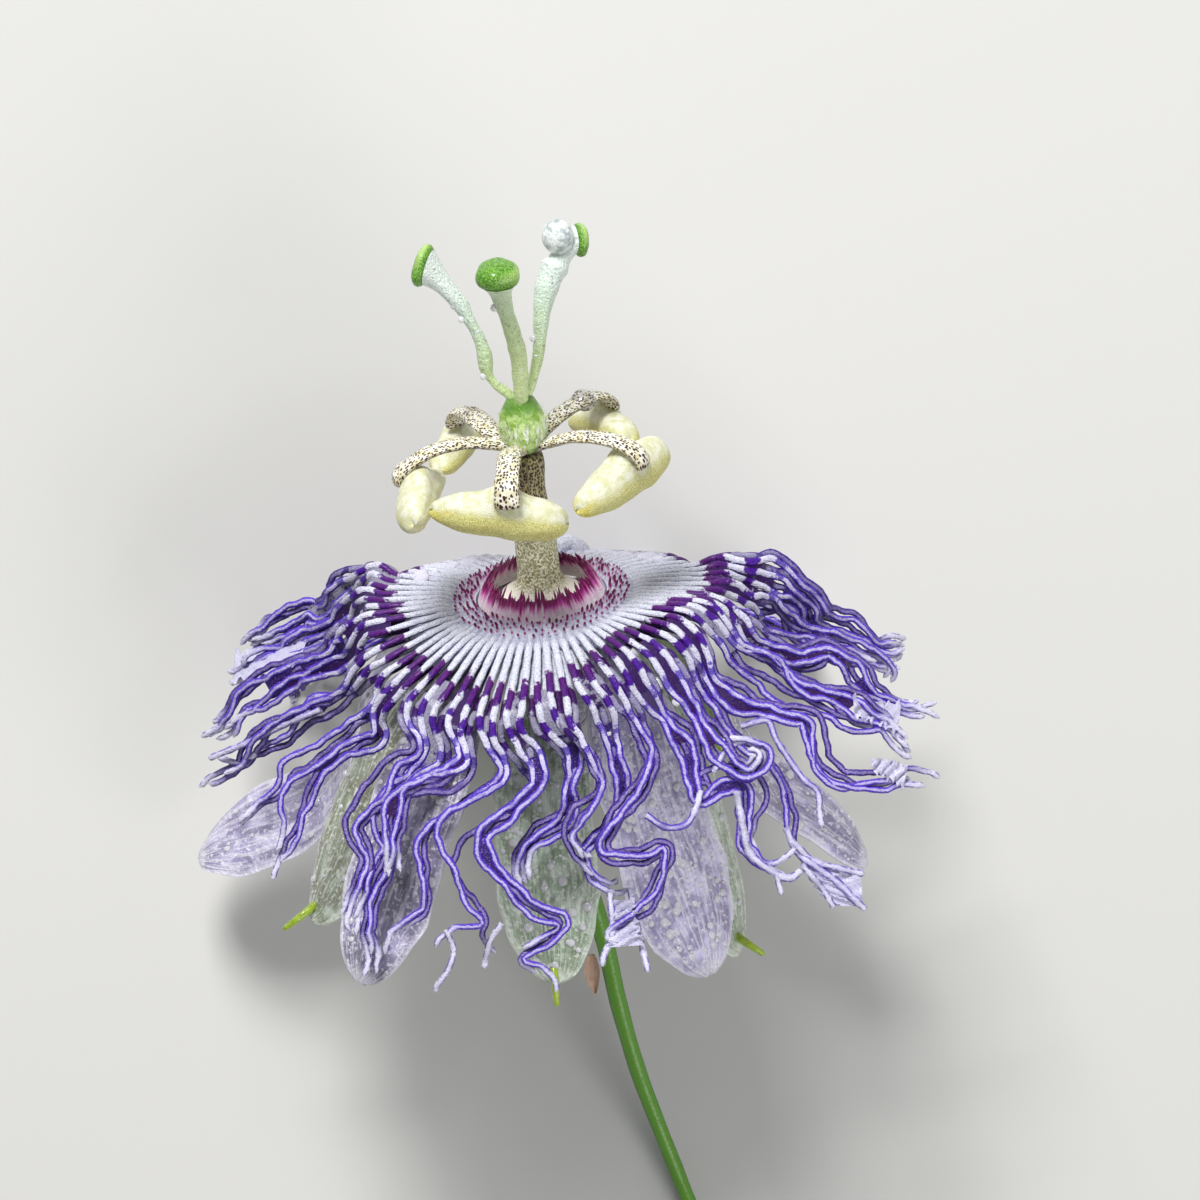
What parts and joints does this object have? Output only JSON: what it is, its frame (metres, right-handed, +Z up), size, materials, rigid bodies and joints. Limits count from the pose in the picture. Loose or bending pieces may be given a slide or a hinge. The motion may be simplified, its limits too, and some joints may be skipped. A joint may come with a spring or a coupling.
{
  "type": "passion flower",
  "caption": "Picked passion flower lying on its back: wavy banded corona threads over drooping tepals, raised stamens and three styles, on a cut stalk.",
  "frame": {"origin": "centre of the bottom of the bounding box, on the surface that the flower lies on", "axes": "+Z up from that surface, +Y from the cut end of the stalk towards the stigmas, +X to the right seen from above"},
  "size_m": [0.0692, 0.0976, 0.0468],
  "materials": {
    "petal_lavender": "satin",
    "sepal_grey_green": "satin",
    "stalk_green": "satin",
    "cup_green": "satin",
    "bract_tan": "matte",
    "disc_white": "satin",
    "thread_violet": "satin",
    "operculum_magenta": "satin",
    "column_green_beige": "satin",
    "ovary_green": "satin",
    "filament_cream": "satin",
    "anther_yellow": "satin",
    "style_mint": "satin"
  },
  "bodies": {
    "root": {"peduncle": "stalk_green", "bract": "bract_tan", "floral_cup": "cup_green", "corona_disc": "disc_white", "operculum": "operculum_magenta", "androgynophore": "column_green_beige", "ovary": "ovary_green", "petal_1": "petal_lavender", "sepal_1": "sepal_grey_green", "stamen_filament_1": "filament_cream", "anther_1": "anther_yellow", "petal_2": "petal_lavender", "sepal_2": "sepal_grey_green", "stamen_filament_2": "filament_cream", "anther_2": "anther_yellow", "petal_3": "petal_lavender", "sepal_3": "sepal_grey_green", "stamen_filament_3": "filament_cream", "anther_3": "anther_yellow", "petal_4": "petal_lavender", "sepal_4": "sepal_grey_green", "stamen_filament_4": "filament_cream", "anther_4": "anther_yellow", "petal_5": "petal_lavender", "sepal_5": "sepal_grey_green", "stamen_filament_5": "filament_cream", "anther_5": "anther_yellow", "style_1": "style_mint", "style_2": "style_mint", "style_3": "style_mint", "corona_tuft_01": "thread_violet", "corona_tuft_02": "thread_violet", "corona_tuft_03": "thread_violet", "corona_tuft_04": "thread_violet", "corona_tuft_05": "thread_violet", "corona_tuft_06": "thread_violet", "corona_tuft_07": "thread_violet", "corona_tuft_08": "thread_violet", "corona_tuft_09": "thread_violet", "corona_tuft_10": "thread_violet", "corona_tuft_11": "thread_violet", "corona_tuft_12": "thread_violet", "corona_tuft_13": "thread_violet", "corona_tuft_14": "thread_violet", "corona_tuft_15": "thread_violet", "corona_tuft_16": "thread_violet", "corona_tuft_17": "thread_violet", "corona_tuft_18": "thread_violet", "corona_tuft_19": "thread_violet", "corona_tuft_20": "thread_violet", "corona_tuft_21": "thread_violet", "corona_tuft_22": "thread_violet", "corona_tuft_23": "thread_violet", "corona_tuft_24": "thread_violet", "corona_tuft_25": "thread_violet", "corona_tuft_26": "thread_violet", "corona_tuft_27": "thread_violet", "corona_tuft_28": "thread_violet", "corona_tuft_29": "thread_violet", "corona_tuft_30": "thread_violet"}
  },
  "joints": []
}
